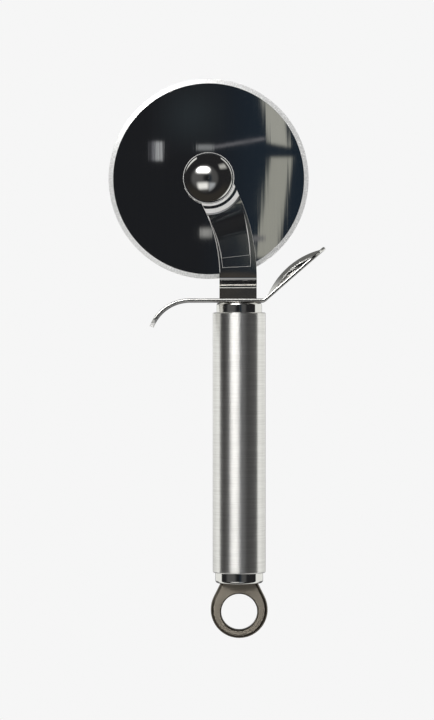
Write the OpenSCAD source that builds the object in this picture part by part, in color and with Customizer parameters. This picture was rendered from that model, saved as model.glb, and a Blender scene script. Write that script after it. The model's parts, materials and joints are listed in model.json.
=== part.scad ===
// Pastry cutter wheel: a bevelled steel wheel that turns on a cranked arm, with a finger guard,
// a round tube handle and a hanging eye. All sizes are in millimetres.
// The handle stands along +Z, the wheel turns about an axis parallel to Y, and the arm lies on
// the front, towards -Y. The origin is the centre of the hole in the hanging eye.

/* [Wheel] */
// Diameter of the wheel
wheel_d = 70; // [60:1:80]
// Thickness of the wheel
wheel_t = 1.2; // [1:0.1:1.6]
// Width of the ground bevel on each face of the rim
bevel_w = 1.6; // [1:0.1:2.5]
// Thickness left at the cutting edge
edge_t = 0.2; // [0.1:0.05:0.4]
// Sideways offset of the wheel's centre from the handle's axis
wheel_offset = 10.7; // [8:0.1:13]
// Gap from the finger guard up to the wheel's rim
rim_gap = 7; // [6:0.1:10]

/* [Hub] */
// Radius of the axle's shoulder, on which the bush turns
axle_r = 3.5; // [3:0.1:4]
// Radius of the axle's front spigot, in the arm and the dome cap
spigot_r = 2.75; // [2:0.05:2.8]
// Length of the spigot inside the dome cap
spigot_grip = 2.2; // [1.5:0.1:2.4]
// Wall of the bush between the axle and the wheel
bush_wall = 2; // [1.5:0.1:2.5]
// Thickness of the bush's front flange
flange_t = 1.2; // [0.8:0.1:1.3]
// Width of the flange beyond the bush's sleeve
flange_w = 1.3; // [0.8:0.1:1.4]
// Length of the sleeve behind the wheel
sleeve_l = 0.6; // [0.4:0.1:1]
// Thickness of the back washer
back_washer_t = 0.8; // [0.5:0.1:1.2]
// Radius of the back washer
back_washer_r = 7.4; // [6.5:0.1:9]
// Radius of the rivet head behind the wheel
head_r = 5.6; // [5:0.1:6.4]
// Height of the rivet head
head_h = 1.9; // [1.2:0.1:2.4]
// Clearance of the wheel on the bush's sleeve, on the radius
wheel_fit = 0.05; // [0.02:0.01:0.08]
// Running clearance of the bush on the axle, on the radius
run_gap = 0.05; // [0.02:0.01:0.08]
// Clearance round the bush's flange in the recess of the arm, on the radius
recess_gap = 0.3; // [0.2:0.05:0.5]
// Clearance of the washers on the axle, on the radius
washer_gap = 0.1; // [0.05:0.01:0.2]
// End float of the wheel on each side
end_float = 0.1; // [0.05:0.01:0.2]

/* [Dome cap] */
// Diameter of the cap's rim
rim_d = 17.8; // [17:0.1:20]
// Thickness of the cap's rim
rim_t = 0.6; // [0.4:0.1:1]
// Width of the flat of the rim round the dome
rim_w = 0.65; // [0.4:0.05:1]
// Chamfer on the edge of the rim
rim_edge = 0.2; // [0.1:0.05:0.3]
// Height of the dome above the rim
dome_h = 3.5; // [3:0.1:5]

/* [Arm] */
// Width of the arm
arm_w = 13; // [11:0.1:15]
// Thickness of the arm
arm_t = 2; // [1.8:0.1:2.6]
// Sideways offset of the arm's neck from the handle's axis
arm_shift = 0.4; // [0:0.1:0.8]
// Chamfer along the arm's left edge above the crank
left_edge = 0.3; // [0.1:0.05:0.3]
// Chamfer along the arm's right edge above the crank
right_edge = 0.06; // [0.04:0.01:0.2]
// Gap between the wheel and the arm
hub_gap = 0.8; // [0.6:0.1:1.4]
// Angle of the crank that carries the arm in front of the wheel
crank_a = 43; // [38:1:50]
// Inside radius of the crank's two bends
bend_r = 0.7; // [0.4:0.1:1]
// Height of the wheel's rim above the start of the crank
crank_lead = 3.3; // [2.8:0.1:3.8]
// Depth of the recess behind the hub, which holds the washer and the bush's flange
recess_h = 1.2; // [1:0.1:1.4]
// Height of the round boss under the dome cap
boss_h = 2.2; // [2:0.1:2.6]
// Width of the boss's edge round the dome cap
boss_lip = 0.1; // [0.05:0.05:0.3]
// Height of the boss's upper step
boss_step = 0.75; // [0.4:0.05:0.9]
// Width of the flat ring between the boss's two steps
boss_ring = 1; // [0.5:0.1:1.4]
// Radius of the hollow at the foot of the boss
boss_hollow = 2; // [1:0.1:2.4]
// Height of the raised panel on the front of the arm
panel_h = 0.3; // [0.25:0.01:0.5]
// Height of the ledge at the foot of the panel
ledge_h = 0.17; // [0.1:0.01:0.2]
// Slope of the sides of the panel and of the boss's steps
side_a = 45; // [40:1:50]
// Distance from the crank to the foot of the panel
panel_lead = 3.4; // [2:0.1:4]
// Length of the ledge at the foot of the panel
ledge_l = 3.7; // [2:0.1:5]
// Slope at which the panel runs out at its top
run_out_a = 3; // [2.5:0.5:8]
// Distance from the boss to the top of the panel
panel_gap = 2.2; // [1.5:0.1:3]
// Border to the right of the panel, at its foot
right_border = 1.85; // [1.2:0.05:2.4]
// Border to the right of the panel, at its top
right_border_top = 0.6; // [0.4:0.05:1]
// Border to the left of the panel, at its foot
left_border = 1.2; // [0.8:0.05:1.6]
// Border to the left of the panel, at its top
left_border_top = 0.4; // [0.3:0.05:0.7]

/* [Finger guard] */
// Width of the guard, from front to back
guard_w = 16; // [16:0.1:19]
// Thickness of the guard
guard_t = 1.2; // [1:0.1:1.5]
// Rounding along the guard's edges
guard_round = 0.45; // [0.2:0.05:0.45]
// Distance from the handle's axis to the start of the finger hook
hook_x = 17.3; // [12:0.1:20]
// Radius of the finger hook, at the middle of the strip
hook_r = 14.3; // [12:0.1:18]
// Angle that the finger hook turns through
hook_a = 69; // [50:1:80]
// Radius of the hook's corners
hook_corner = 4; // [3:0.1:7]
// Distance from the handle's axis to the bend of the thumb rest
thumb_x = 7.9; // [7.9:0.1:10]
// Inside radius of that bend
thumb_bend = 1.5; // [1:0.1:2.5]
// Slope of the thumb rest
thumb_a = 41; // [30:1:50]
// Length of the thumb rest beyond its bend
thumb_l = 27.4; // [26:0.1:32]
// Length of the dish in the thumb rest
dish_l = 24; // [20:0.1:25]
// Width of the dish
dish_w = 13.5; // [11:0.1:13.5]
// Depth of the dish
dish_h = 2.8; // [2:0.1:3.2]
// Distance from the bend to the middle of the dish
dish_x = 13.6; // [13:0.1:14]

/* [Handle] */
// Diameter of the handle tube
tube_d = 18.5; // [17.5:0.1:22]
// Wall of the handle tube
tube_wall = 0.8; // [0.6:0.05:0.9]
// Length of the handle tube
tube_l = 90.9; // [70:0.1:120]
// Chamfer on the tube's ends
tube_edge = 0.3; // [0.1:0.05:0.4]
// Diameter of the upper ferrule's collar
upper_d = 15.9; // [15:0.1:16.5]
// Length of the upper ferrule's collar
upper_l = 3.6; // [2.5:0.1:5]
// Diameter of the lower ferrule's collar
lower_d = 16.7; // [15.5:0.1:16.8]
// Length of the lower ferrule's collar
lower_l = 3.7; // [2.5:0.1:5]
// Rounding of the collars' outer edges
collar_round = 1; // [0.5:0.1:1.5]
// Length of the upper ferrule inside the tube
upper_plug = 14; // [12:0.1:20]
// Length of the lower ferrule inside the tube
lower_plug = 9; // [6:0.1:16]
// Clearance of the ferrules in the tube, on the radius
plug_gap = 0.05; // [0.02:0.01:0.1]
// Width of the tang
tang_w = 9; // [7:0.1:10]
// Length of the tang below the finger guard
tang_l = 23; // [20:0.1:30]
// Clearance of the tang in its slots
tang_gap = 0.05; // [0.02:0.01:0.1]
// Radius of the pin across the tang
pin_r = 1.5; // [1:0.1:2]
// Depth of the pin below the top of the tube
pin_depth = 7; // [4:0.1:9]
// Clearance of the pin, the spigot and the stem in their holes, on the radius
pin_gap = 0.03; // [0.02:0.01:0.05]

/* [Hanging eye] */
// Diameter of the hole
hole_d = 12.6; // [10:0.1:14]
// Outer diameter of the ring
ring_d = 19.9; // [18:0.1:22]
// Height of the ring's centre above the hole's centre
ring_rise = 0.8; // [0:0.1:1.2]
// Thickness of the eye, from front to back
eye_t = 5; // [4.8:0.1:6]
// Rounding of the outer edges
eye_round = 1.2; // [0.6:0.1:1.5]
// Rounding of the hole's edges
hole_round = 0.8; // [0.4:0.1:1]
// Width of the neck where it meets the ferrule
neck_w = 13; // [10:0.1:14]
// Height of the ferrule above the hole's centre
eye_rise = 10; // [9.5:0.1:13]
// Radius of the stem inside the ferrule
stem_r = 2.2; // [1.5:0.1:2.3]

/* [Hidden] */
$fn = 96;

// Cutters reach this far past what they cut
over = 1;
// Steps of a small rounded edge
round_steps = 6;
// Length by which the pieces of the arm run on inside each other
core_l = 0.4;
// Thickness that the pressing takes off each face of the thumb rest
rest_thinning = 0.01;
// Length of the thumb rest that lies inside its bend
rest_root = 0.1;
// Angle by which the thumb dish's torus is longer than the dish
dish_margin = 30;
// Sides of the ring of the eye
eye_sides = 64;
// Share of the rounding of the eye's hole that runs out past the eye's faces
flare_past = 0.1;

// Heights of the stack from the eye to the wheel
tube_z = eye_rise + lower_l;
tube_top = tube_z + tube_l;
guard_z = tube_top + upper_l;
guard_top = guard_z + guard_t;
rim_z = guard_top + rim_gap;
wheel_z = rim_z + wheel_d / 2;

// Handle
tube_r = tube_d / 2;
bore_r = tube_r - tube_wall;
plug_r = bore_r - plug_gap;
pin_z = tube_top - pin_depth;

// Arm: a strip that is cranked forward and then follows one arc to the wheel's axis
arm_mid = wheel_t / 2 + hub_gap + arm_t / 2;
arm_back = arm_mid - arm_t / 2;
arm_front = arm_mid + arm_t / 2;
bend_mid = bend_r + arm_t / 2;
bend_depth = bend_mid * (1 - cos(crank_a));
bend_rise = bend_mid * sin(crank_a);
crank_z = rim_z - crank_lead;
slope_l = (arm_mid - 2 * bend_depth) / sin(crank_a);
arc_z = micrometre(crank_z + 2 * bend_rise + slope_l * cos(crank_a));
arc_dx = wheel_offset - arm_shift;
arc_dz = wheel_z - arc_z;
arc_a = 2 * atan2(arc_dx, arc_dz);
arc_r = micrometre(arc_dz / sin(arc_a));
core_a = core_l / arc_r * 180 / PI;

// Hub, measured forward from the middle of the wheel
recess_floor = arm_back + recess_h;
boss_top = arm_front + boss_h;
sleeve_r = axle_r + bush_wall;
flange_r = sleeve_r + flange_w;
flange_front = wheel_t / 2 + flange_t;
sleeve_back = wheel_t / 2 + sleeve_l;
washer_back = sleeve_back + end_float + back_washer_t;
recess_r = flange_r + recess_gap;
eye_r = rim_d / 2 - rim_w / 2;
dome_r = rim_d / 2 - rim_w;
dome_sphere = (pow(dome_r, 2) + pow(dome_h, 2)) / (2 * dome_h);

// Boss: two sloping steps with a flat ring between them, and a hollow at the foot
boss_top_r = rim_d / 2 + boss_lip;
ring_in = boss_top_r + boss_step / tan(side_a);
ring_out = ring_in + boss_ring;
boss_slope_h = boss_h - boss_step - boss_hollow * (1 - cos(side_a));
boss_foot = ring_out + boss_slope_h / tan(side_a) + boss_hollow * sin(side_a);

// Panel on the front of the arm, as angles about the arc's centre
panel_foot_a = panel_lead / arc_r * 180 / PI;
panel_crest_a = (panel_lead + ledge_l) / arc_r * 180 / PI;
panel_top_a = arc_a - (boss_foot + panel_gap) / arc_r * 180 / PI;
panel_turn = sin(panel_top_a) - sin(panel_foot_a);

// Thumb dish: a torus patch with one radius along the rest and one across it
dish_long = (pow(dish_l / 2, 2) + pow(dish_h, 2)) / (2 * dish_h);
dish_cross = (pow(dish_w / 2, 2) + pow(dish_h, 2)) / (2 * dish_h);
dish_span = 2 * asin(dish_l / 2 / dish_long) + dish_margin;

// A length rounded to a thousandth, so that pieces drawn from different origins meet exactly
function micrometre(l) = round(l * 1000) / 1000;

// Points on an arc, from angle a0 to angle a1
function arc(centre, r, a0, a1) =
    [for (i = [0:round_steps])
        let (a = a0 + (a1 - a0) * i / round_steps)
        centre + r * [cos(a), sin(a)]];

// Turns a drawing of the front view upright: x stays, y becomes the height, z points forward
module front_view() {
    rotate([90, 0, 0]) children();
}

// Front view with its origin on the wheel's axis, in the middle plane of the wheel
module on_axle() {
    translate([-wheel_offset, 0, wheel_z]) front_view() children();
}

// Ring between two levels along the axis
module ring(r_in, r_out, from, to) {
    rotate_extrude() translate([r_in, from]) square([r_out - r_in, to - from]);
}

// Section of a bar or a strip with rounded edges
module rounded_section(w, t, r) {
    x = w / 2 - r;
    y = t / 2 - r;
    polygon(concat(
        arc([x, y], r, 0, 90),
        arc([-x, y], r, 90, 180),
        arc([-x, -y], r, 180, 270),
        arc([x, -y], r, 270, 360)
    ));
}

// Disc, or a sector of one, with a rounded edge
module rounded_disc(d, t, r, from, turn) {
    h = t / 2;
    edge = d / 2 - r;
    rotate_extrude(start = from, angle = turn) polygon(concat(
        [[0, -h]],
        arc([edge, r - h], r, -90, 0),
        arc([edge, h - r], r, 0, 90),
        [[0, h]]
    ));
}

// Section of the arm, with chamfered edges
module arm_section() {
    x = arm_w / 2;
    y = arm_t / 2;
    polygon([
        [-x, left_edge - y], [left_edge - x, -y], [x - right_edge, -y], [x, right_edge - y],
        [x, y - right_edge], [x - right_edge, y], [left_edge - x, y], [-x, y - left_edge]
    ]);
}

module blade() {
    r = wheel_d / 2;
    color("silver") on_axle() rotate_extrude() polygon([
        [sleeve_r + wheel_fit, -wheel_t / 2], [r - bevel_w, -wheel_t / 2], [r, -edge_t / 2],
        [r, edge_t / 2], [r - bevel_w, wheel_t / 2], [sleeve_r + wheel_fit, wheel_t / 2]
    ]);
}

// Flanged bush that is pressed into the wheel and turns on the axle
module hub_bush() {
    bush_bore = axle_r + run_gap;
    color("whitesmoke") on_axle() {
        ring(bush_bore, sleeve_r, -sleeve_back, flange_front);
        ring(bush_bore, flange_r, wheel_t / 2, flange_front);
    }
}

// Shoulder rivet: low round head behind, shoulder through the hub, spigot into arm and cap
module axle_rivet() {
    seat = -washer_back;
    head_sphere = (pow(head_r, 2) + pow(head_h, 2)) / (2 * head_h);
    color("lightgray") on_axle() {
        translate([0, 0, seat]) cylinder(h = recess_floor - seat, r = axle_r);
        translate([0, 0, recess_floor - over])
            cylinder(h = boss_top + spigot_grip - recess_floor + over, r = spigot_r);
        intersection() {
            translate([0, 0, seat - head_h + head_sphere]) sphere(r = head_sphere);
            translate([0, 0, seat - head_h - over]) cylinder(h = head_h + over, r = head_r + over);
        }
    }
}

// Plastic washer in the recess behind the arm
module front_washer() {
    color("whitesmoke") on_axle()
        ring(axle_r + washer_gap, flange_r, flange_front + end_float, recess_floor);
}

module back_washer() {
    color("gainsboro") on_axle()
        ring(axle_r + washer_gap, back_washer_r, -washer_back, -sleeve_back - end_float);
}

// Polished dome with a thin flat rim, pressed on the axle's spigot
module dome_cap() {
    color("silver") on_axle() translate([0, 0, boss_top]) difference() {
        union() {
            rotate_extrude() polygon([
                [0, 0], [rim_d / 2, 0], [rim_d / 2, rim_t - rim_edge],
                [rim_d / 2 - rim_edge, rim_t], [0, rim_t]
            ]);
            intersection() {
                translate([0, 0, rim_t + dome_h - dome_sphere]) sphere(r = dome_sphere);
                cylinder(h = rim_t + dome_h + over, r = rim_d / 2);
            }
        }
        translate([0, 0, -over]) cylinder(h = spigot_grip + over + pin_gap, r = spigot_r + pin_gap);
    }
}

// Neck and crank: one side profile, with x pointing forward and y up, drawn across the arm
module arm_crank() {
    half = arm_t / 2;
    low = [bend_mid, crank_z];
    high = [arm_mid - bend_mid, arc_z];
    outer = bend_mid + half;
    rotate([0, -90, 0]) linear_extrude(arm_w, center = true) polygon(concat(
        [[half, guard_top]],
        arc(low, bend_r, 180, 180 - crank_a),
        arc(high, outer, -crank_a, 0),
        arc(high, bend_r, 0, -crank_a),
        arc(low, outer, 180 - crank_a, 180),
        [[-half, guard_top]]
    ));
}

// Core that runs from the crank into the arc, so that the two overlap and don't just touch
module arm_core() {
    rotate_extrude(start = -core_a, angle = 2 * core_a)
        translate([arc_r, arm_mid]) square([arm_w / 2, arm_t / 2], center = true);
}

// Cutter above a plane that holds the radial line at an angle about the arc's centre
module arc_plane_cut(at, tilt, level, back, ahead) {
    rotate([0, 0, at]) translate([arc_r - arm_w, 0, level]) rotate([tilt, 0, 0])
        translate([0, -back, 0]) cube([2 * arm_w, back + ahead, arm_t]);
}

// Raised panel with sloping sides, borders that narrow upwards, a ledge at its foot and a run-out
module arm_panel() {
    shift_right = (right_border - right_border_top) / panel_turn;
    shift_left = (left_border_top - left_border) / panel_turn;
    right_r = arc_r + arm_w / 2 - right_border - shift_right * sin(panel_foot_a);
    left_r = arc_r - arm_w / 2 + left_border - shift_left * sin(panel_foot_a);
    top = arm_front + panel_h;
    run_out_l = panel_h / tan(run_out_a);
    reach = panel_h + over;
    flare = reach / tan(side_a);
    difference() {
        intersection() {
            rotate_extrude(start = panel_foot_a - core_a, angle = panel_top_a - panel_foot_a + 2 * core_a)
                translate([arc_r - arm_w / 2, arm_mid]) square([arm_w, top - arm_mid]);
            translate([0, shift_right, arm_front - reach])
                cylinder(h = 2 * reach, r1 = right_r + flare, r2 = right_r - flare);
        }
        translate([0, shift_left, arm_front - reach])
            cylinder(h = 2 * reach, r1 = left_r - flare, r2 = left_r + flare);
        arc_plane_cut(panel_foot_a, side_a, arm_front, over, over);
        arc_plane_cut(panel_crest_a, 0, arm_front + ledge_h, 2 * ledge_l, 0);
        arc_plane_cut(panel_crest_a, side_a, arm_front + ledge_h, 0, over);
        arc_plane_cut(panel_top_a, -run_out_a, arm_front, 2 * run_out_l, over);
    }
}

// Boss round the axle: the dome's seat, with two steps and a hollow foot along the arm
module arm_boss() {
    ring_level = boss_top - boss_step;
    rotate_extrude() polygon(concat(
        [[0, arm_mid], [boss_foot, arm_mid]],
        arc([boss_foot, arm_front + boss_hollow], boss_hollow, -90, -90 - side_a),
        [[ring_out, ring_level], [ring_in, ring_level], [boss_top_r, boss_top], [0, boss_top]]
    ));
}

module arm() {
    arc_centre = [-arm_shift - arc_r, arc_z, 0];
    color("silver") difference() {
        union() {
            front_view() translate([-arm_shift, 0, 0]) {
                arm_crank();
                translate([-tang_w / 2, guard_top - tang_l, -arm_t / 2])
                    cube([tang_w, tang_l + over, arm_t]);
            }
            front_view() translate(arc_centre) {
                rotate_extrude(angle = arc_a)
                    translate([arc_r, arm_mid]) arm_section();
                arm_core();
                arm_panel();
            }
            on_axle() translate([0, 0, arm_back]) cylinder(h = boss_top - arm_back, r = eye_r);
            intersection() {
                on_axle() arm_boss();
                front_view() translate(arc_centre) rotate_extrude(angle = arc_a)
                    translate([arc_r - arm_w / 2, arm_mid]) square([arm_w, boss_top - arm_mid]);
            }
        }
        on_axle() {
            translate([0, 0, arm_back - over]) cylinder(h = recess_h + over, r = recess_r);
            cylinder(h = boss_top + over, r = spigot_r + pin_gap);
        }
        translate([-arm_shift, 0, pin_z]) front_view()
            cylinder(h = 2 * arm_t, r = pin_r + pin_gap, center = true);
    }
}

// Outline of the hook's end, seen from the side: corners rounded, open at the top
module hook_outline() {
    tip = guard_z + guard_t / 2 - hook_r * (1 - cos(hook_a)) - guard_t;
    inner = guard_w / 2 - hook_corner;
    for (side = [-1, 1])
        translate([side * inner, tip + hook_corner]) circle(r = hook_corner);
    translate([-inner, tip]) square([2 * inner, guard_top - tip + over]);
    translate([-guard_w / 2, tip + hook_corner])
        square([guard_w, guard_top - tip - hook_corner + over]);
}

// Finger hook on the left, drawn in the front view
module finger_hook() {
    intersection() {
        translate([-hook_x, guard_z + guard_t / 2 - hook_r, 0])
            rotate_extrude(start = 90, angle = hook_a)
                translate([hook_r, 0]) rounded_section(guard_t, guard_w, guard_round);
        translate([-hook_x + over, 0, 0]) rotate([0, -90, 0])
            linear_extrude(hook_r + 2 * guard_t) hook_outline();
    }
}

// Thumb rest in its own plane: x runs along it, y is square to it and z runs across it
module thumb_rest() {
    w = guard_w - 2 * rest_thinning;
    t = guard_t - 2 * rest_thinning;
    edge = guard_round - rest_thinning;
    outline_l = thumb_l - w / 2;
    dish_axis = [dish_x, guard_t / 2 + dish_h - dish_long, 0];
    difference() {
        union() {
            translate([-rest_root, 0, 0]) rotate([0, 90, 0]) linear_extrude(outline_l + rest_root)
                rounded_section(w, t, edge);
            translate([outline_l, 0, 0]) front_view() rounded_disc(w, t, edge, -90, 180);
            intersection() {
                translate(dish_axis) rotate_extrude(start = 90 - dish_span / 2, angle = dish_span)
                    translate([dish_long - dish_cross, 0]) circle(r = dish_cross);
                translate([dish_x - dish_l, 0, -guard_w]) cube([2 * dish_l, 2 * dish_h, 2 * guard_w]);
            }
        }
        translate(dish_axis) rotate_extrude(start = 90 - dish_span / 2, angle = dish_span)
            translate([dish_long - dish_cross, 0]) circle(r = dish_cross - guard_t);
    }
}

// One strip: hook for the finger, slot for the tang, dished rest for the thumb
module finger_guard() {
    color("silver") difference() {
        front_view() {
            finger_hook();
            translate([-hook_x, guard_z + guard_t / 2, 0]) rotate([0, 90, 0])
                linear_extrude(hook_x + thumb_x) rounded_section(guard_w, guard_t, guard_round);
            translate([thumb_x, guard_top + thumb_bend, 0]) {
                rotate_extrude(start = -90, angle = thumb_a)
                    translate([thumb_bend + guard_t / 2, 0])
                        rounded_section(guard_t, guard_w, guard_round);
                rotate([0, 0, thumb_a]) translate([0, -thumb_bend - guard_t / 2, 0]) thumb_rest();
            }
        }
        tang_slot();
    }
}

// Slot that the tang passes through, in the guard and the upper ferrule
module tang_slot() {
    w = tang_w + 2 * tang_gap;
    t = arm_t + 2 * tang_gap;
    translate([-arm_shift - w / 2, -t / 2, tube_top - upper_plug - over])
        cube([w, t, upper_plug + upper_l + guard_t + 2 * over]);
}

// Ferrule with its collar up: plug inside the tube, collar with a rounded edge outside
module ferrule(collar_r, collar_l, plug_l) {
    corner = [collar_r - collar_round, collar_l - collar_round];
    rotate_extrude() polygon(concat(
        [[0, -plug_l], [plug_r, -plug_l], [plug_r, 0], [collar_r, 0]],
        arc(corner, collar_round, 0, 90),
        [[0, collar_l]]
    ));
}

module upper_ferrule() {
    color("lightgray") difference() {
        translate([0, 0, tube_top]) ferrule(upper_d / 2, upper_l, upper_plug);
        tang_slot();
        translate([-arm_shift, 0, pin_z]) front_view()
            cylinder(h = tube_d, r = pin_r + pin_gap, center = true);
    }
}

// Pin across the plug and the tang: it holds the arm down on the guard and the ferrule
module tang_pin() {
    pin_l = 2 * (sqrt(pow(plug_r, 2) - pow(arm_shift + pin_r, 2)) - pin_gap);
    color("gray") translate([-arm_shift, 0, pin_z]) front_view()
        cylinder(h = pin_l, r = pin_r, center = true);
}

module handle_tube() {
    color("gainsboro") translate([0, 0, tube_z]) rotate_extrude() polygon([
        [bore_r, 0], [tube_r - tube_edge, 0], [tube_r, tube_edge],
        [tube_r, tube_l - tube_edge], [tube_r - tube_edge, tube_l], [bore_r, tube_l]
    ]);
}

module lower_ferrule() {
    color("lightgray") translate([0, 0, tube_z]) difference() {
        mirror([0, 0, 1]) ferrule(lower_d / 2, lower_l, lower_plug);
        translate([0, 0, -lower_l - over])
            cylinder(h = lower_l + lower_plug + 2 * over, r = stem_r + pin_gap);
    }
}

// Cast ring with rounded edges, a neck that runs up to the ferrule, and a round stem
module hanging_eye() {
    h = eye_t / 2;
    flare_r = hole_d / 2 + hole_round;
    flare_y = h - (1 - flare_past) * hole_round;
    color("rosybrown") difference() {
        union() {
            hull() {
                intersection() {
                    front_view() translate([0, ring_rise, 0])
                        rounded_disc(ring_d, eye_t, eye_round, 0, 360, $fn = eye_sides);
                    translate([-ring_d, -eye_t, eye_rise - over - 2 * ring_d])
                        cube([2 * ring_d, 2 * eye_t, 2 * ring_d]);
                }
                translate([0, 0, eye_rise - over]) linear_extrude(over)
                    rounded_section(neck_w, eye_t, eye_round);
            }
            translate([0, 0, eye_rise - over])
                cylinder(h = over + lower_l + lower_plug, r = stem_r);
        }
        front_view() rotate_extrude() polygon(concat(
            [[0, -h - over], [flare_r, -h - over]],
            arc([flare_r, -flare_y], hole_round, -90, -180),
            arc([flare_r, flare_y], hole_round, 180, 90),
            [[flare_r, h + over], [0, h + over]]
        ));
    }
}

blade();
hub_bush();
axle_rivet();
front_washer();
back_washer();
dome_cap();
arm();
finger_guard();
upper_ferrule();
tang_pin();
handle_tube();
lower_ferrule();
hanging_eye();
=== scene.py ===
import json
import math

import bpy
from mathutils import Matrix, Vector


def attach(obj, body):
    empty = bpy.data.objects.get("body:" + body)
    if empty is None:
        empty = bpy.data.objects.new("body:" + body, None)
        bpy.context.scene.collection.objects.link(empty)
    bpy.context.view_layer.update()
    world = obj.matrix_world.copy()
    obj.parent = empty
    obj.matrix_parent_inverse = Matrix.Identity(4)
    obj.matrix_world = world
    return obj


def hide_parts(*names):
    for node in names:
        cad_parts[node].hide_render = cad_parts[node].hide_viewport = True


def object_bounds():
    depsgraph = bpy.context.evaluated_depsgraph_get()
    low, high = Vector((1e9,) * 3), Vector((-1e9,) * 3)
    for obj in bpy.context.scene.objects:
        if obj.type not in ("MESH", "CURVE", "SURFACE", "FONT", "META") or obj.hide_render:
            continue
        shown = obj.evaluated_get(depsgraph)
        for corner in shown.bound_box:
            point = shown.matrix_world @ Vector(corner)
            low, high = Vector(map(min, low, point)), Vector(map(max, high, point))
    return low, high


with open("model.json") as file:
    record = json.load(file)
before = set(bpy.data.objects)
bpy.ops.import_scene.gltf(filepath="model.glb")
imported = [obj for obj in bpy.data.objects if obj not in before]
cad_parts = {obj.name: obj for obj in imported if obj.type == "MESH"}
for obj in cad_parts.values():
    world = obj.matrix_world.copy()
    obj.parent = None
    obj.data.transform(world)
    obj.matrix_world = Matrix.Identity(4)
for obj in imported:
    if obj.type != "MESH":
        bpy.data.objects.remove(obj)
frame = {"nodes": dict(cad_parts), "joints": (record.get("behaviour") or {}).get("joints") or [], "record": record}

# Looks of the pastry cutter wheel: polished, satin and cast steel in a dark studio with soft boxes
# and faint glows in front, white surroundings at the sides, and a pale background. Lengths are in
# metres and angles in degrees, unless a comment says otherwise.

CAD_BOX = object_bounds()
NODES = frame["nodes"]
RECORD = frame["record"]
WHEEL_AXIS = Vector(frame["joints"][0]["pos_m"])

# Photograph: image size, size of a pixel at the handle, and the pixels of two known places
IMAGE_W = 434
IMAGE_H = 720
PIXEL = 0.00035
HANDLE_AXIS_PX = 239.2
EYE_HOLE_PX = 611.5

# Camera: distance from the handle, width of the sensor in millimetres, and how near and far it sees
CAMERA_DISTANCE = 1.0
SENSOR = 36.0
CLIP_START = 0.01
CLIP_END = 20.0

# Colour of the background and the floor
PALE = (0.921, 0.921, 0.921)
# Floor: how far it lies below the object, and the radii where the shadow starts to fade and is gone
FLOOR_DROP = 0.06
FLOOR_RADIUS = 1.5
FLOOR_CORNERS = 64
FLOOR_ROUGH = 0.9
SHADOW_INNER = 0.10
SHADOW_OUTER = 0.19
# Light overhead, which points at the origin: diameter, power in watts and place
LIGHT_SIZE = 0.5
LIGHT_POWER = 5.0
LIGHT_PLACE = (-0.2, -0.3, 1.25)
# Strength of the plain light from all sides on what isn't bare metal
SOFT_LIGHT = 0.72

# Pieces that are shown as smooth copies, because the CAD draws their rounded edges in steps
SMOOTHED = (
    "arm", "finger_guard", "dome_cap", "axle_rivet",
    "upper_ferrule", "lower_ferrule", "hanging_eye",
)
# Largest angle that is smoothed, digits to which the places of corners are compared, and a share of
# a corner's own normal that keeps a sum of normals from being nothing
SMOOTH_ANGLE = 28.0
PLACE_DIGITS = 6
OWN_SHARE = 1e-12

# Soft boxes of the studio, as angles across and up seen from the object: left, right, low, high,
# softness of the edge, colour, and the power of the mask, which gathers the light in the middle
SOFT_BOXES = {
    "glow": (15.0, 45.0, -50.0, 50.0, 9.0, (0.085, 0.085, 0.085), 1.0),
    "lower glow": (2.0, 26.0, -50.0, -16.0, 6.0, (0.42, 0.44, 0.46), 1.0),
    "upper box": (-49.0, 5.0, 20.0, 41.0, 14.0, (19.0, 19.0, 18.7), 3.0),
    "lower box": (-42.0, -2.0, -37.0, -15.0, 8.0, (1.1, 1.1, 1.08), 1.0),
}
# Round mask that cuts the corners of the soft boxes: its centre across, and where it fades and ends
ROUND_CENTRE = -16.0
ROUND_FADE = (38.0, 56.0)
# Grey card on the right, and haze in the dark of the room: left, right, low, high and softness
RIGHT_CARD = (46.0, 78.0, 31.0, 45.0, 6.0)
HAZE = (-1.0, 0.0, 4.4, 5.4, 0.5)
# Things in the far dark of the room, which the flat of the wheel mirrors: left, right, low, high,
# softness and colour, and then how far each leans to the right and how far it rises to the right,
# in degrees to a degree
FAR_THINGS = {
    "panel, top": (0.84, 1.25, 4.55, 5.65, 0.05, (0.40, 0.40, 0.35), -0.15, -0.2),
    "panel": (1.07, 1.51, 2.05, 4.06, 0.05, (0.36, 0.36, 0.31), 0.15, 0.0),
    "rail": (-0.10, 0.95, 4.24, 4.30, 0.03, (0.16, 0.16, 0.17), 0.0, 0.17),
    "shelf": (-0.41, -0.08, 4.20, 4.31, 0.03, (0.25, 0.26, 0.26), 0.0, 0.0),
    "low shelf": (0.70, 0.95, 2.38, 2.49, 0.05, (0.17, 0.17, 0.17), 0.0, 0.0),
    "window, left": (-1.34, -1.20, 3.99, 4.37, 0.03, (0.12, 0.12, 0.13), 0.0, 0.0),
    "window": (-1.23, -1.10, 3.99, 4.37, 0.03, (0.42, 0.43, 0.43), 0.0, 0.0),
    "lamp": (-0.34, -0.10, 2.46, 2.64, 0.06, (0.34, 0.34, 0.32), 0.0, 0.0),
    "table": (-2.0, 3.0, -3.0, 1.34, 0.10, (0.060, 0.054, 0.047), 0.0, 0.0),
}

# Colours of the studio
FRONT_DARK = (0.015, 0.016, 0.018)
FRONT_NAVY = (0.015, 0.023, 0.033)
FRONT_HAZE = (0.026, 0.032, 0.036)
WIDE_DARK = (0.013, 0.013, 0.014)
WIDE_BAND = (0.028, 0.028, 0.030)
BOX_GLOW = (0.10, 0.10, 0.10)
CARD_GREY = (0.50, 0.50, 0.48)
LOW_GREY = (0.036, 0.033, 0.029)
SIDE_WHITE = (0.95, 0.96, 0.93)
BACK_GREY = (0.07, 0.07, 0.075)
BACK_BAND = (0.24, 0.24, 0.245)
ABOVE_GREY = (0.16, 0.16, 0.155)

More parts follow.
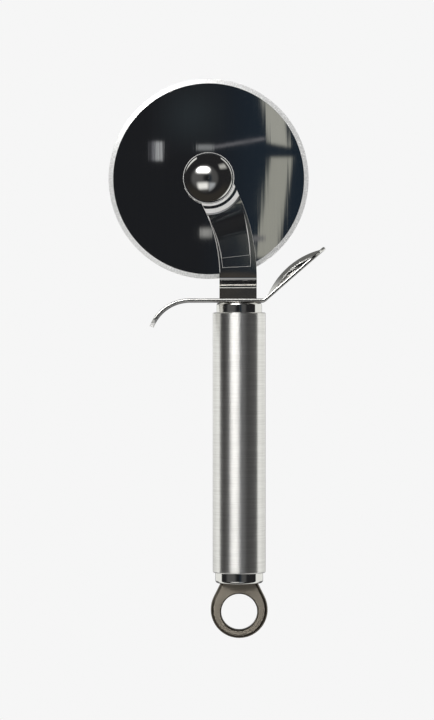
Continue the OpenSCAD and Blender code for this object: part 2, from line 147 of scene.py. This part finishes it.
# Upright bands in the room: from one to the next, and the parts of a wave, from -1 to 1, where a
# band starts and is full
BAND_STEP = 3.0
BAND_EDGE = (-0.3, 0.3)
# Angles across where the dark in front turns from grey to navy
NAVY_START = (-0.5, 1.0)
# Angles off the front axis where these start and are full. The axis is turned a little to the left
FRONT_AXIS = (-0.0523, -0.9986, 0.0)
WIDE_START = (6.0, 25.0)
LOW_START = (48.0, 66.0)
SIDE_START = (89.5, 93.5)
BACK_START = (155.0, 176.0)
LOW_BACK_START = (112.0, 130.0)
ABOVE_START = (92.0, 125.0)
# The white sides start later straight above. On the slant from above on the left to below on the
# right they start earlier
LATER_ABOVE = 30.0
EARLIER_SLANT = 11.0
# Height of a direction, from -1 to 1, where straight above and below start and are full
STRAIGHT_ABOVE = (0.85, 0.97)
BELOW = (0.0, -0.7)
# The same for a direction as it is seen straight from the front
ROLL_ABOVE = (0.4, 0.7)
ROLL_BELOW = (-0.3, -0.15)

# Where the finish and its painted highlights change on the pieces: radius where the wheel's ground bevel starts,
# where the edge of the dome's rim starts, and where the boss of the arm ends
BEVEL_R = 0.0334
RIM_EDGE_R = 0.00865
BOSS_R = 0.0145
# Height where the crank of the arm ends
CRANK_TOP = 0.1185
# Height of the cut end of the guard's hook, which gets a painted highlight, and over how much the cut fades
HOOK_END = 0.1006
HOOK_END_FADE = 0.0008
# How far to the left the finger starts to dull the guard, and has dulled it in full
WEAR_START = 0.010
WEAR_FULL = 0.016
# Half the width of a change of finish, where it is sharp and where it is soft
SHARP = 0.00005
SOFT = 0.0005
# Parts of a normal, from 0 to 1, where a face of the arm starts to count as facing the front or up
# and counts in full, and where a face of the cast ring counts as one of its flat ones
FACES_FRONT = (0.85, 0.97)
FACES_UP = (0.2, 0.35)
CAST_FACE = (0.975, 1.0)

# Grain of the finishes: scale of the noise along X, Y and Z, and its detail. For grinding, X is the
# angle about the axle in radians and Y the distance from it
GRAINS = {
    "smudges": ((90.0, 90.0, 90.0), 3.0),
    "buff lines": ((3000.0, 3000.0, 200.0), 3.0),
    "brushing": ((4000.0, 500.0, 50.0), 3.0),
    "waves": ((900.0, 500.0, 25.0), 2.0),
    "blade smudges": ((60.0, 60.0, 60.0), 3.0),
    "grinding": ((90.0, 900.0, 1.0), 3.0),
    "fine rings": ((90.0, 90.0, 3200.0), 3.0),
    "broad rings": ((25.0, 25.0, 700.0), 2.0),
    "tube wear": ((70.0, 70.0, 40.0), 3.0),
    "cast grain": ((2500.0, 2500.0, 2500.0), 3.0),
    "cast patches": ((220.0, 220.0, 220.0), 3.0),
    "mottle": ((300.0, 300.0, 300.0), 3.0),
    "nylon grain": ((3000.0, 3000.0, 3000.0), 2.0),
}
# What a grain adds to the roughness where it is full
GRAIN_ROUGH = {
    "smudges": 0.025,
    "buff lines": 0.04,
    "brushing": 0.012,
    "blade smudges": 0.008,
    "grinding": 0.15,
    "fine rings": 0.08,
    "broad rings": 0.05,
    "tube wear": 0.05,
    "cast grain": 0.06,
}
# Strength and distance of the bump that a grain makes
GRAIN_BUMP = {
    "buff lines": (0.05, 0.000001),
    "waves": (1.0, 0.0000006),
    "fine rings": (0.1, 0.00002),
    "cast grain": (0.015, 0.00001),
    "nylon grain": (0.2, 0.00002),
}
# Parts of a grain where what it makes starts and is full
SMUDGE_START = (0.45, 0.75)
BLADE_SMUDGE_START = (0.5, 0.75)
LINE_START = (0.25, 0.75)
NYLON_START = (0.2, 0.8)
# Colours of the finishes, where their grain is nothing and where it is full
TONES = {
    "buffed": ((0.76, 0.75, 0.73), (0.71, 0.70, 0.67)),
    "blade face": ((0.70, 0.70, 0.71), (0.80, 0.80, 0.81)),
    # The bevel's near-white colour is its grinding and a painted highlight
    "blade bevel and painted highlight": ((0.72, 0.72, 0.71), (0.97, 0.97, 0.96)),
    "satin": ((0.74, 0.73, 0.71), (0.87, 0.86, 0.84)),
    "cast face": ((0.32, 0.285, 0.235), (0.42, 0.375, 0.315)),
    # Dark colour of the cast ring's rounded edges: cast skin and painted shade
    "cast skin and painted shade": ((0.10, 0.085, 0.07), (0.15, 0.13, 0.105)),
    "nylon": ((0.80, 0.79, 0.74), (0.88, 0.87, 0.83)),
}
# Roughness of the finishes without their grain
BUFFED_ROUGH = 0.025
GUARD_ROUGH = 0.05
WORN_ROUGH = 0.2
BLADE_ROUGH = 0.008
BEVEL_ROUGH = 0.25
SATIN_ROUGH = 0.22
CAST_SKIN_ROUGH = 0.32
CAST_FACE_ROUGH = 0.52
# Roughness of the nylon, where its grain is nothing and where it is full
NYLON_ROUGH = (0.38, 0.55)
# Matt places on buffed steel, whose near-white, barely metallic colour is a painted highlight, and how matt and
# highlighted the plain part of the arm and the rim of the dome are
MATT_ROUGH = 0.45
MATT_PAINTED_HIGHLIGHT = (0.95, 0.94, 0.92)
MATT_HIGHLIGHT_METALLIC = 0.1
STRIP_MATT_HIGHLIGHT = 0.5
RIM_MATT_HIGHLIGHT = 0.55
# How metallic the frosted bevel and the satin tube are, the bevel so little that its near-white colour shows as a
# painted highlight, and how far and which way the gloss of the tube is drawn out, the way as a part of a turn
BEVEL_HIGHLIGHT_METALLIC = 0.2
SATIN_METALLIC = 0.965
SATIN_DRAWN = 0.9
SATIN_TURN = 0.25


def add(tree, kind, inputs=None, **settings):
    """Adds a shader node with settings, and with inputs that are values or other sockets."""
    made = tree.nodes.new("ShaderNode" + kind)
    for name, value in settings.items():
        setattr(made, name, value)
    for name, value in (inputs or {}).items():
        connect(tree, value, made.inputs[name])
    return made


def connect(tree, value, socket):
    """Links a socket to another one, or gives it a value."""
    if isinstance(value, bpy.types.NodeSocket):
        tree.links.new(value, socket)
    elif isinstance(value, tuple) and socket.type == "RGBA":
        socket.default_value = (*value, 1.0)
    else:
        socket.default_value = value


def calc(tree, operation, *values):
    """Adds a math node and returns its result."""
    return add(tree, "Math", dict(enumerate(values)), operation=operation).outputs[0]


def product(tree, *values):
    """All values multiplied."""
    result = values[0]
    for value in values[1:]:
        result = calc(tree, "MULTIPLY", result, value)
    return result


def length(tree, first, second):
    """Length of a vector with two parts."""
    squares = calc(tree, "MULTIPLY_ADD", first, first, calc(tree, "MULTIPLY", second, second))
    return calc(tree, "SQRT", squares)


def split(tree, vector):
    """The parts of a vector along X, Y and Z."""
    return add(tree, "SeparateXYZ", {"Vector": vector}).outputs


def ramp(tree, value, low, high, from_value=0.0, to_value=1.0):
    """A value that runs smoothly from from_value at low to to_value at high."""
    inputs = {
        "Value": value,
        "From Min": low,
        "From Max": high,
        "To Min": from_value,
        "To Max": to_value,
    }
    return add(tree, "MapRange", inputs, interpolation_type="SMOOTHSTEP").outputs["Result"]


def fade(tree, value, low, high):
    """A value that runs smoothly from 1 at low to 0 at high."""
    return ramp(tree, value, low, high, 1.0, 0.0)


def blend(tree, share, first, second):
    """A value that runs smoothly from first, where share is 0, to second, where it is 1."""
    return ramp(tree, share, 0.0, 1.0, first, second)


def mix(tree, factor, first, second, kind="RGBA"):
    """First colour where factor is 0, and second where it is 1. Or values, if kind is FLOAT."""
    made = add(tree, "Mix", data_type=kind)
    sockets = [s for s in made.inputs if s.enabled]
    for socket, value in zip(sockets, (factor, first, second)):
        connect(tree, value, socket)
    return [s for s in made.outputs if s.enabled][0]


def mix_shader(tree, factor, first, second):
    """First shader where factor is 0, and second where it is 1."""
    inputs = {0: factor, 1: first.outputs[0], 2: second.outputs[0]}
    return add(tree, "MixShader", inputs)


def object_place(tree):
    """Place in the object's own frame."""
    return add(tree, "TexCoord").outputs["Object"]


def window(tree, across, up, left, right, low, high, soft):
    """1 for directions inside a rectangle of angles, with soft edges, and 0 outside it."""
    return product(
        tree,
        ramp(tree, across, left - soft, left + soft),
        fade(tree, across, right - soft, right + soft),
        ramp(tree, up, low - soft, low + soft),
        fade(tree, up, high - soft, high + soft),
    )


def studio_colour(tree):
    """Colour of the studio in each direction."""
    direction = add(tree, "TexCoord").outputs["Generated"]
    x, y, z = split(tree, direction)
    across = calc(tree, "DEGREES", calc(tree, "ARCTAN2", x, calc(tree, "MULTIPLY", y, -1.0)))
    up = calc(tree, "DEGREES", calc(tree, "ARCSINE", z))
    ahead = add(tree, "VectorMath", {0: direction, 1: FRONT_AXIS}, operation="DOT_PRODUCT")
    off_axis = calc(tree, "DEGREES", calc(tree, "ARCCOSINE", ahead.outputs["Value"]))
    roll = calc(tree, "DIVIDE", z, length(tree, x, z))
    waves = calc(tree, "SINE", calc(tree, "MULTIPLY", across, 2 * math.pi / BAND_STEP))
    bands = ramp(tree, waves, *BAND_EDGE)

    # Dark room in front
    colour = mix(tree, ramp(tree, across, *NAVY_START), FRONT_DARK, FRONT_NAVY)
    colour = mix(tree, window(tree, across, up, *HAZE), colour, FRONT_HAZE)
    sideways = calc(tree, "SUBTRACT", across, ROUND_CENTRE)
    rounded = fade(tree, length(tree, sideways, up), *ROUND_FADE)
    wide = mix(tree, bands, WIDE_DARK, WIDE_BAND)
    wide = mix(tree, rounded, wide, BOX_GLOW)
    colour = mix(tree, ramp(tree, off_axis, *WIDE_START), colour, wide)
    below = product(tree, ramp(tree, z, *BELOW), ramp(tree, off_axis, *LOW_START))
    colour = mix(tree, below, colour, LOW_GREY)

    # What stands in it
    for *angles, shade, power in SOFT_BOXES.values():
        mask = product(tree, window(tree, across, up, *angles), rounded)
        colour = mix(tree, calc(tree, "POWER", mask, power), colour, shade)
    colour = mix(tree, window(tree, across, up, *RIGHT_CARD), colour, CARD_GREY)
    for left, right, low, high, soft, shade, lean, rise in FAR_THINGS.values():
        leaning = calc(tree, "MULTIPLY", calc(tree, "SUBTRACT", up, high), lean)
        straight = calc(tree, "SUBTRACT", across, leaning)
        level = calc(tree, "SUBTRACT", up, calc(tree, "MULTIPLY", across, rise))
        mask = window(tree, straight, level, left, right, low, high, soft)
        colour = mix(tree, mask, colour, shade)

    # White sides, grey above, and the room behind
    slant = calc(tree, "MAXIMUM", product(tree, x, calc(tree, "MULTIPLY", z, -1.0)), 0.0)
    side = calc(tree, "MULTIPLY_ADD", slant, EARLIER_SLANT, off_axis)
    later = ramp(tree, z, *STRAIGHT_ABOVE, 0.0, LATER_ABOVE)
    side = calc(tree, "SUBTRACT", side, later)
    colour = mix(tree, ramp(tree, side, *SIDE_START), colour, SIDE_WHITE)
    above = product(tree, ramp(tree, roll, *ROLL_ABOVE), ramp(tree, off_axis, *ABOVE_START))
    colour = mix(tree, above, colour, ABOVE_GREY)
    low_back = product(tree, fade(tree, roll, *ROLL_BELOW), ramp(tree, off_axis, *LOW_BACK_START))
    behind = calc(tree, "MAXIMUM", low_back, ramp(tree, off_axis, *BACK_START))
    return mix(tree, behind, colour, mix(tree, bands, BACK_GREY, BACK_BAND))


def make_world():
    """The studio for what is mirrored, a pale background for the camera, and plain soft light for
    all else."""
    world = bpy.data.worlds.new("studio")
    bpy.context.scene.world = world
    world.use_nodes = True
    tree = world.node_tree
    tree.nodes.clear()
    soft_light = add(tree, "Background", {"Color": PALE, "Strength": SOFT_LIGHT})
    studio = add(tree, "Background", {"Color": studio_colour(tree)})
    pale = add(tree, "Background", {"Color": PALE})
    path = add(tree, "LightPath").outputs
    lit = mix_shader(tree, path["Is Glossy Ray"], soft_light, studio)
    seen = mix_shader(tree, path["Is Camera Ray"], lit, pale)
    add(tree, "OutputWorld", {"Surface": seen.outputs[0]})


def make_light():
    """A large soft light overhead, for the shadow on the floor and for what isn't bare metal."""
    data = bpy.data.lights.new("overhead", "AREA")
    data.shape = "DISK"
    data.size = LIGHT_SIZE
    data.energy = LIGHT_POWER
    light = bpy.data.objects.new("overhead", data)
    light.location = LIGHT_PLACE
    light.rotation_euler = light.location.to_track_quat("Z", "Y").to_euler()
    light.visible_glossy = False
    bpy.context.scene.collection.objects.link(light)


def make_camera():
    """The camera of the photograph, straight in front."""
    data = bpy.data.cameras.new("camera")
    camera = bpy.data.objects.new("camera", data)
    bpy.context.scene.collection.objects.link(camera)
    data.sensor_width = SENSOR
    data.lens = SENSOR * CAMERA_DISTANCE / (IMAGE_H * PIXEL)
    data.clip_start = CLIP_START
    data.clip_end = CLIP_END
    x = (IMAGE_W / 2 - HANDLE_AXIS_PX) * PIXEL
    z = (EYE_HOLE_PX - IMAGE_H / 2) * PIXEL
    camera.location = (x, -CAMERA_DISTANCE, z)
    camera.rotation_euler = (math.pi / 2, 0.0, 0.0)
    bpy.context.scene.camera = camera


def set_inputs(tree, shader, **inputs):
    """Sets inputs of a shader, which are named with underscores."""
    for key, value in inputs.items():
        connect(tree, value, shader.inputs[key.replace("_", " ")])


def new_material(name, **inputs):
    """A material with its tree and its main shader."""
    material = bpy.data.materials.new(name)
    material.use_nodes = True
    tree = material.node_tree
    shader = tree.nodes["Principled BSDF"]
    set_inputs(tree, shader, **inputs)
    return material, tree, shader


def grain(tree, name, place=None):
    """Noise of a grain, from 0 to 1, in the object's own frame if no place is given."""
    scale, detail = GRAINS[name]
    place = place or object_place(tree)
    stretched = add(tree, "VectorMath", {0: place, 1: scale}, operation="MULTIPLY").outputs[0]
    inputs = {"Vector": stretched, "Scale": 1.0, "Detail": detail}
    return add(tree, "TexNoise", inputs).outputs["Fac"]


def roughen(tree, rough, name, noise):
    """A roughness with what a grain adds to it."""
    return calc(tree, "MULTIPLY_ADD", noise, GRAIN_ROUGH[name], rough)


def bump(tree, name, noise):
    """Normal with the bump that a grain makes."""
    strength, distance = GRAIN_BUMP[name]
    inputs = {"Height": noise, "Strength": strength, "Distance": distance}
    return add(tree, "Bump", inputs).outputs[0]


def tone(tree, name, factor):
    """Colour of a finish."""
    return mix(tree, factor, *TONES[name])


def from_axle(tree):
    """Place about the wheel's axis: across and up."""
    inputs = {0: object_place(tree), 1: WHEEL_AXIS}
    offset = split(tree, add(tree, "VectorMath", inputs, operation="SUBTRACT").outputs[0])
    return offset["X"], offset["Z"]


def arm_slope_highlight(tree):
    """1 where the buff doesn't reach, and where a near-white highlight is painted: on the slopes of the boss that
    don't face up. Less on the edges and the pressed lines of the rest of the arm above the crank."""
    normal = split(tree, add(tree, "TexCoord").outputs["Normal"])
    height = split(tree, object_place(tree))["Z"]
    radius = length(tree, *from_axle(tree))
    return product(
        tree,
        fade(tree, calc(tree, "ABSOLUTE", normal["Y"]), *FACES_FRONT),
        ramp(tree, radius, BOSS_R - SOFT, BOSS_R + SOFT, 1.0, STRIP_MATT_HIGHLIGHT),
        fade(tree, normal["Z"], *FACES_UP),
        ramp(tree, height, CRANK_TOP - SOFT, CRANK_TOP + SOFT),
    )


def dome_rim_highlight(tree):
    """Above 0 on the edge of the dome's rim, which is buffed in part and elsewhere matt with a near-white painted
    highlight.
    """
    radius = length(tree, *from_axle(tree))
    return ramp(tree, radius, RIM_EDGE_R - SHARP, RIM_EDGE_R + SHARP, 0.0, RIM_MATT_HIGHLIGHT)


def hook_end_highlight(tree):
    """1 on the cut end of the guard's hook, which is matt with a near-white painted highlight."""
    height = split(tree, object_place(tree))["Z"]
    return fade(tree, height, HOOK_END, HOOK_END + HOOK_END_FADE)


def guard_wear(tree):
    """Roughness of the guard, which the finger has dulled on the hook."""
    left = calc(tree, "MULTIPLY", split(tree, object_place(tree))["X"], -1.0)
    return ramp(tree, left, WEAR_START, WEAR_FULL, GUARD_ROUGH, WORN_ROUGH)


def polished_steel(name, wear=None, matt_highlight=None):
    """Buffed steel: smudges left by hands and fine lines left by the buff, with places that are worn if asked, and
    matt places with a near-white painted highlight if asked."""
    material, tree, shader = new_material(name, Metallic=1.0)
    smudges = ramp(tree, grain(tree, "smudges"), *SMUDGE_START)
    lines = grain(tree, "buff lines")
    rough = roughen(tree, wear(tree) if wear else BUFFED_ROUGH, "buff lines", lines)
    rough = roughen(tree, rough, "smudges", smudges)
    colour = tone(tree, "buffed", smudges)
    # Matt places: rougher, and painted near-white and barely metallic as a highlight
    if matt_highlight:
        share = matt_highlight(tree)
        rough = mix(tree, share, rough, MATT_ROUGH, "FLOAT")
        colour = mix(tree, share, colour, MATT_PAINTED_HIGHLIGHT)
        set_inputs(tree, shader, Metallic=blend(tree, share, 1.0, MATT_HIGHLIGHT_METALLIC))
    normal = bump(tree, "buff lines", lines)
    set_inputs(tree, shader, Base_Color=colour, Roughness=rough, Normal=normal)
    return material


def blade_steel():
    """Mirror-polished steel with faint upright brushing, and a frosted bevel with marks of the grinding, whose
    near-white, barely metallic colour is partly a painted highlight."""
    material, tree, shader = new_material("blade_steel")
    x, z = from_axle(tree)
    radius = length(tree, x, z)
    bevel = ramp(tree, radius, BEVEL_R - SHARP, BEVEL_R + SHARP)

    brushing = grain(tree, "brushing")
    smudges = ramp(tree, grain(tree, "blade smudges"), *BLADE_SMUDGE_START)
    face = tone(tree, "blade face", brushing)
    face_rough = roughen(tree, BLADE_ROUGH, "brushing", brushing)
    face_rough = roughen(tree, face_rough, "blade smudges", smudges)

    around = {"X": calc(tree, "ARCTAN2", z, x), "Y": radius}
    grinding = grain(tree, "grinding", add(tree, "CombineXYZ", around).outputs[0])
    # Bevel: grinding marks, and a near-white colour that is partly a painted highlight
    ground = tone(tree, "blade bevel and painted highlight", ramp(tree, grinding, *LINE_START))
    ground_rough = roughen(tree, BEVEL_ROUGH, "grinding", grinding)

    set_inputs(
        tree, shader,
        Base_Color=mix(tree, bevel, face, ground),
        Roughness=mix(tree, bevel, face_rough, ground_rough, "FLOAT"),
        Metallic=blend(tree, bevel, 1.0, BEVEL_HIGHLIGHT_METALLIC),
        Normal=bump(tree, "waves", grain(tree, "waves")),
    )
    return material


def satin_steel():
    """Steel brushed round the tube: fine rings of slightly different shade and gloss."""
    material, tree, shader = new_material("satin_steel", Metallic=SATIN_METALLIC)
    fine = grain(tree, "fine rings")
    rough = roughen(tree, SATIN_ROUGH, "fine rings", fine)
    for name in ("broad rings", "tube wear"):
        rough = roughen(tree, rough, name, grain(tree, name))
    tangent = add(tree, "Tangent", direction_type="RADIAL", axis="Z")
    set_inputs(
        tree, shader,
        Base_Color=tone(tree, "satin", ramp(tree, fine, *LINE_START)),
        Roughness=rough,
        Normal=bump(tree, "fine rings", fine),
        Tangent=tangent.outputs[0],
        Anisotropic=SATIN_DRAWN,
        Anisotropic_Rotation=SATIN_TURN,
    )
    return material


def cast_steel():
    """Cast steel: faces ground to a brownish satin, and darker rounded edges that are partly cast skin and partly
    painted shade.
    """
    material, tree, shader = new_material("cast_steel", Metallic=1.0)
    normal = split(tree, add(tree, "TexCoord").outputs["Normal"])
    # Rounded edges, found by their normals, are painted darker: cast skin and painted shade
    face = ramp(tree, calc(tree, "ABSOLUTE", normal["Y"]), *CAST_FACE)
    fine = grain(tree, "cast grain")
    ground = tone(tree, "cast face", grain(tree, "cast patches"))
    skin_and_shade = tone(tree, "cast skin and painted shade", fine)
    rough = blend(tree, face, CAST_SKIN_ROUGH, CAST_FACE_ROUGH)
    set_inputs(
        tree, shader,
        Base_Color=mix(tree, face, skin_and_shade, ground),
        Roughness=roughen(tree, rough, "cast grain", fine),
        Normal=bump(tree, "cast grain", fine),
    )
    return material


def nylon():
    """Natural nylon, slightly mottled, with a fine grain."""
    material, tree, shader = new_material("nylon")
    fine = grain(tree, "nylon grain")
    set_inputs(
        tree, shader,
        Base_Color=tone(tree, "nylon", grain(tree, "mottle")),
        Roughness=ramp(tree, fine, *NYLON_START, *NYLON_ROUGH),
        Normal=bump(tree, "nylon grain", fine),
    )
    return material


MATERIALS = {
    "polished_steel": polished_steel("polished_steel"),
    "blade_steel": blade_steel(),
    "satin_steel": satin_steel(),
    "cast_steel": cast_steel(),
    "nylon": nylon(),
}
# Pieces of polished steel with a finish of their own, whose matt places carry a near-white painted highlight
OWN_FINISH_AND_HIGHLIGHT = {
    "arm": polished_steel("arm_steel", matt_highlight=arm_slope_highlight),
    "dome_cap": polished_steel("dome_steel", matt_highlight=dome_rim_highlight),
    "finger_guard": polished_steel("guard_steel", wear=guard_wear, matt_highlight=hook_end_highlight),
}


def smooth_normals(mesh):
    """Corner normals that run on over small steps. Large faces weigh more, so they stay flat."""
    limit = math.cos(math.radians(SMOOTH_ANGLE))
    corners = []
    meeting = {}
    for face in mesh.polygons:
        for index in face.loop_indices:
            vertex = mesh.vertices[mesh.loops[index].vertex_index]
            place = vertex.co.to_tuple(PLACE_DIGITS)
            normal = mesh.corner_normals[index].vector.copy()
            if normal.dot(face.normal) < limit:
                normal = face.normal.copy()
            corners.append((place, normal))
            meeting.setdefault(place, []).append(normal * face.area)
    smooth = []
    for place, normal in corners:
        near = [other for other in meeting[place] if other.dot(normal) > limit * other.length]
        smooth.append(sum(near, normal * OWN_SHARE).normalized())
    return smooth


def smooth_copy(name, material):
    """A copy of a CAD node whose small steps are shaded as the curves that they stand for."""
    mesh = NODES[name].data.copy()
    mesh.normals_split_custom_set(smooth_normals(mesh))
    mesh.materials.clear()
    mesh.materials.append(material)
    piece = bpy.data.objects.new(name + "_smooth", mesh)
    bpy.context.scene.collection.objects.link(piece)
    body = [b for b, nodes in RECORD["behaviour"]["bodies"].items() if name in nodes][0]
    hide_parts(name)
    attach(piece, body)


def dress_nodes():
    """Gives each CAD node its material, and smooths those that need it."""
    for row in RECORD["subparts"]:
        name, slot = row["node"], row["material_slot"]
        material = OWN_FINISH_AND_HIGHLIGHT.get(name, MATERIALS[slot])
        NODES[name].data.materials.clear()
        NODES[name].data.materials.append(material)
        if name in SMOOTHED:
            smooth_copy(name, material)


def make_floor():
    """Pale floor that keeps the object's shadow near the object and is plain further out."""
    bpy.ops.mesh.primitive_circle_add(
        vertices=FLOOR_CORNERS, radius=FLOOR_RADIUS, fill_type="NGON",
        location=(0.0, 0.0, CAD_BOX[0].z - FLOOR_DROP),
    )
    floor = bpy.context.object
    floor.name = "floor"
    material, tree, shader = new_material(
        "pale_floor", Base_Color=PALE, Roughness=FLOOR_ROUGH, Specular_IOR_Level=0.0,
    )
    from_middle = add(tree, "VectorMath", {0: object_place(tree)}, operation="LENGTH")
    plain = ramp(tree, from_middle.outputs["Value"], SHADOW_INNER, SHADOW_OUTER)
    path = add(tree, "LightPath").outputs
    glow = add(tree, "Emission", {"Color": PALE})
    mixed = mix_shader(tree, product(tree, plain, path["Is Camera Ray"]), shader, glow)
    connect(tree, mixed.outputs[0], tree.nodes["Material Output"].inputs["Surface"])
    floor.data.materials.append(material)
    floor.visible_glossy = False


make_world()
make_light()
make_camera()
dress_nodes()
make_floor()

bpy.context.scene.view_settings.view_transform = "Standard"
